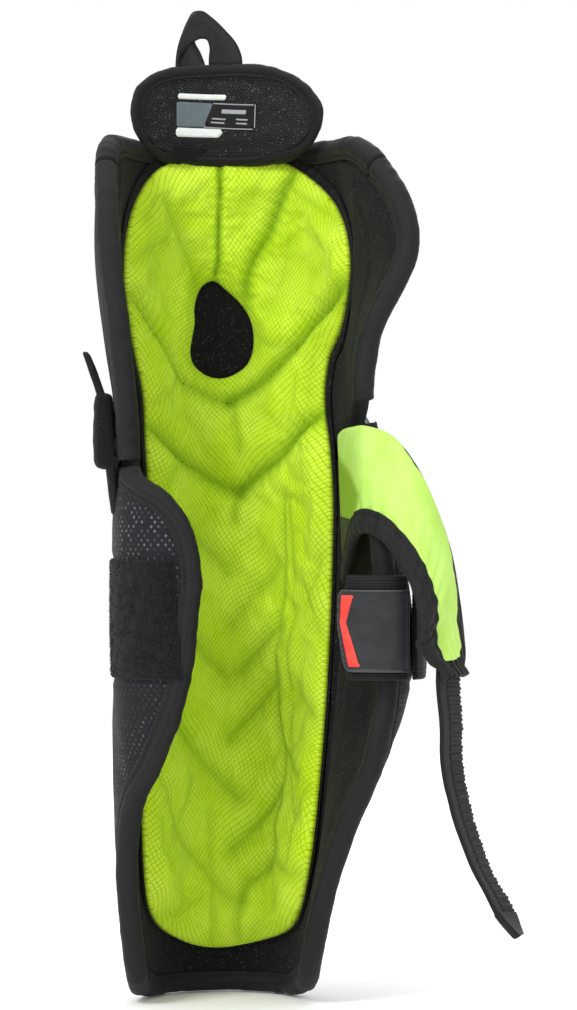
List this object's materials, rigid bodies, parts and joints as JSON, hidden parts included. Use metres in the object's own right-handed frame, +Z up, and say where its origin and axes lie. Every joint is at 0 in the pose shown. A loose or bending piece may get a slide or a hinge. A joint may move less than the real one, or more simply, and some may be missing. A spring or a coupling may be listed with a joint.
{
  "type": "hockey shin guard",
  "caption": "Right-leg ice-hockey shin guard: hard shin shell and tilting knee cup on a bound black foam chassis, with a removable lime quilted liner, thigh flap, calf wings and straps.",
  "frame": {"origin": "centre line of the leg cavity at the height of the ankle edge", "axes": "+Z up along the shin towards the knee, +Y to the front of the leg, +X towards the side with the neoprene wrap"},
  "size_m": [0.1988, 0.1619, 0.4582],
  "materials": {
    "shell_polymer": "semi-gloss moulded shell",
    "cap_polymer": "satin moulded cap",
    "plate_polymer": "smooth sheet",
    "pad_foam": "brushed nylon over foam",
    "mesh_lining": "fine black mesh",
    "knit_cover": "black knit with a fine dot pattern",
    "twill_binding": "matt black twill tape",
    "black_steel": "black lacquer",
    "bare_steel": "brushed",
    "hook_tape": "moulded hooks",
    "loop_pile": "brushed loop pile",
    "liner_lime": "smooth stretch knit with a thin dark grid",
    "neoprene_lime": "smooth stretch face on neoprene",
    "elastic_rib": "ribbed elastic",
    "satin_ribbon": "satin ribbon",
    "label_print": "woven label",
    "tab_rubber": "soft moulded tab",
    "chevron_red": "raised coloured inlay"
  },
  "bodies": {
    "shin": {"shin_shell": "shell_polymer", "shin_ridge_cap": "cap_polymer", "shin_foam": "mesh_lining", "ankle_binding": "twill_binding", "shell_rivets": "black_steel", "rivet_washers": "bare_steel", "shin_hook_strips": "hook_tape", "knee_pivot_pins": "black_steel"},
    "knee": {"knee_cup_shell": "shell_polymer", "knee_cup_pad": "pad_foam", "knee_foam": "mesh_lining", "knee_wing_left": "mesh_lining", "knee_wing_right": "mesh_lining", "knee_binding_left": "twill_binding", "knee_binding_right": "twill_binding", "knee_binding_top": "twill_binding", "knee_hook_strips": "hook_tape", "flap_root": "mesh_lining", "side_loop_pad": "loop_pile"},
    "flap": {"thigh_flap": "mesh_lining", "flap_stiffener": "plate_polymer", "flap_binding": "twill_binding", "size_label": "label_print"},
    "loop": {"pull_loop": "satin_ribbon"},
    "left_wing": {"calf_wing_left_foam": "mesh_lining", "calf_wing_left_plate": "plate_polymer", "calf_wing_left_cover": "knit_cover", "calf_wing_left_binding": "twill_binding", "landing_patch": "loop_pile"},
    "right_wing": {"calf_wing_right_foam": "mesh_lining", "calf_wing_right_plate": "plate_polymer", "calf_wing_right_cover": "knit_cover", "calf_wing_right_binding": "twill_binding", "wrap_root": "neoprene_lime", "calf_strap_root": "elastic_rib"},
    "calf_strap": {"calf_strap_band": "elastic_rib", "strap_tab": "tab_rubber", "tab_chevron": "chevron_red", "tab_hook_pad": "hook_tape"},
    "wrap": {"neoprene_wrap": "neoprene_lime", "wrap_binding": "twill_binding"},
    "ribbed_strap": {"ribbed_strap": "elastic_rib", "strap_hook_tip": "hook_tape"},
    "side_tab": {"side_pull_tab": "tab_rubber"},
    "shin_liner": {"shin_liner": "liner_lime"},
    "knee_liner": {"knee_liner": "liner_lime"}
  },
  "joints": [
    {"name": "knee_tilt", "type": "hinge", "parent": "shin", "child": "knee", "pos_m": [0, 0.002, 0.25], "axis": [1, 0, 0], "range_deg": [0, 10], "stiffness_Nm_per_rad": 2, "springref_deg": -5.73},
    {"name": "flap_fold", "type": "hinge", "parent": "knee", "child": "flap", "pos_m": [0, 0.0455, 0.3975], "axis": [1, 0, 0], "range_deg": [-20, 0], "stiffness_Nm_per_rad": 0.12, "springref_deg": 5.73},
    {"name": "loop_flip", "type": "hinge", "parent": "flap", "child": "loop", "pos_m": [0, 0.0465, 0.4215], "axis": [1, 0, 0], "range_deg": [-70, 0], "stiffness_Nm_per_rad": 0.01, "springref_deg": 6.88},
    {"name": "left_wing_flex", "type": "hinge", "parent": "shin", "child": "left_wing", "pos_m": [-0.052, 0.002, 0.13], "axis": [0, 0, 1], "range_deg": [-25, 0], "stiffness_Nm_per_rad": 0.6, "springref_deg": 1.15},
    {"name": "right_wing_flex", "type": "hinge", "parent": "shin", "child": "right_wing", "pos_m": [0.058, 0.004, 0.13], "axis": [0, 0, 1], "range_deg": [0, 15], "stiffness_Nm_per_rad": 0.6, "springref_deg": -1.15},
    {"name": "calf_strap_swing", "type": "hinge", "parent": "right_wing", "child": "calf_strap", "pos_m": [0.0815, -0.0656, 0.173], "axis": [0, 0, 1], "range_deg": [0, 65]},
    {"name": "wrap_swing", "type": "hinge", "parent": "right_wing", "child": "wrap", "pos_m": [0.0595, -0.0515, 0.24], "axis": [0, 0, 1], "range_deg": [-100, 0]},
    {"name": "strap_sway", "type": "hinge", "parent": "wrap", "child": "ribbed_strap", "pos_m": [0.097, -0.0705, 0.1525], "axis": [0.3201, 0.9474, 0], "range_deg": [-30, 30], "stiffness_Nm_per_rad": 0.03},
    {"name": "side_tab_flip", "type": "hinge", "parent": "knee", "child": "side_tab", "pos_m": [-0.058, -0.0235, 0.28], "axis": [0, 1, 0], "range_deg": [-25, 15], "stiffness_Nm_per_rad": 0.01},
    {"name": "liner_peel", "type": "slide", "parent": "shin", "child": "shin_liner", "axis": [0, -1, 0], "range_m": [0, 0.01]},
    {"name": "liner_bend", "type": "hinge", "parent": "shin_liner", "child": "knee_liner", "pos_m": [0, 0.002, 0.25], "axis": [1, 0, 0], "range_deg": [0, 10]}
  ],
  "couplings": [
    {"joint": "liner_bend", "follows": "knee_tilt", "ratio": 1}
  ]
}
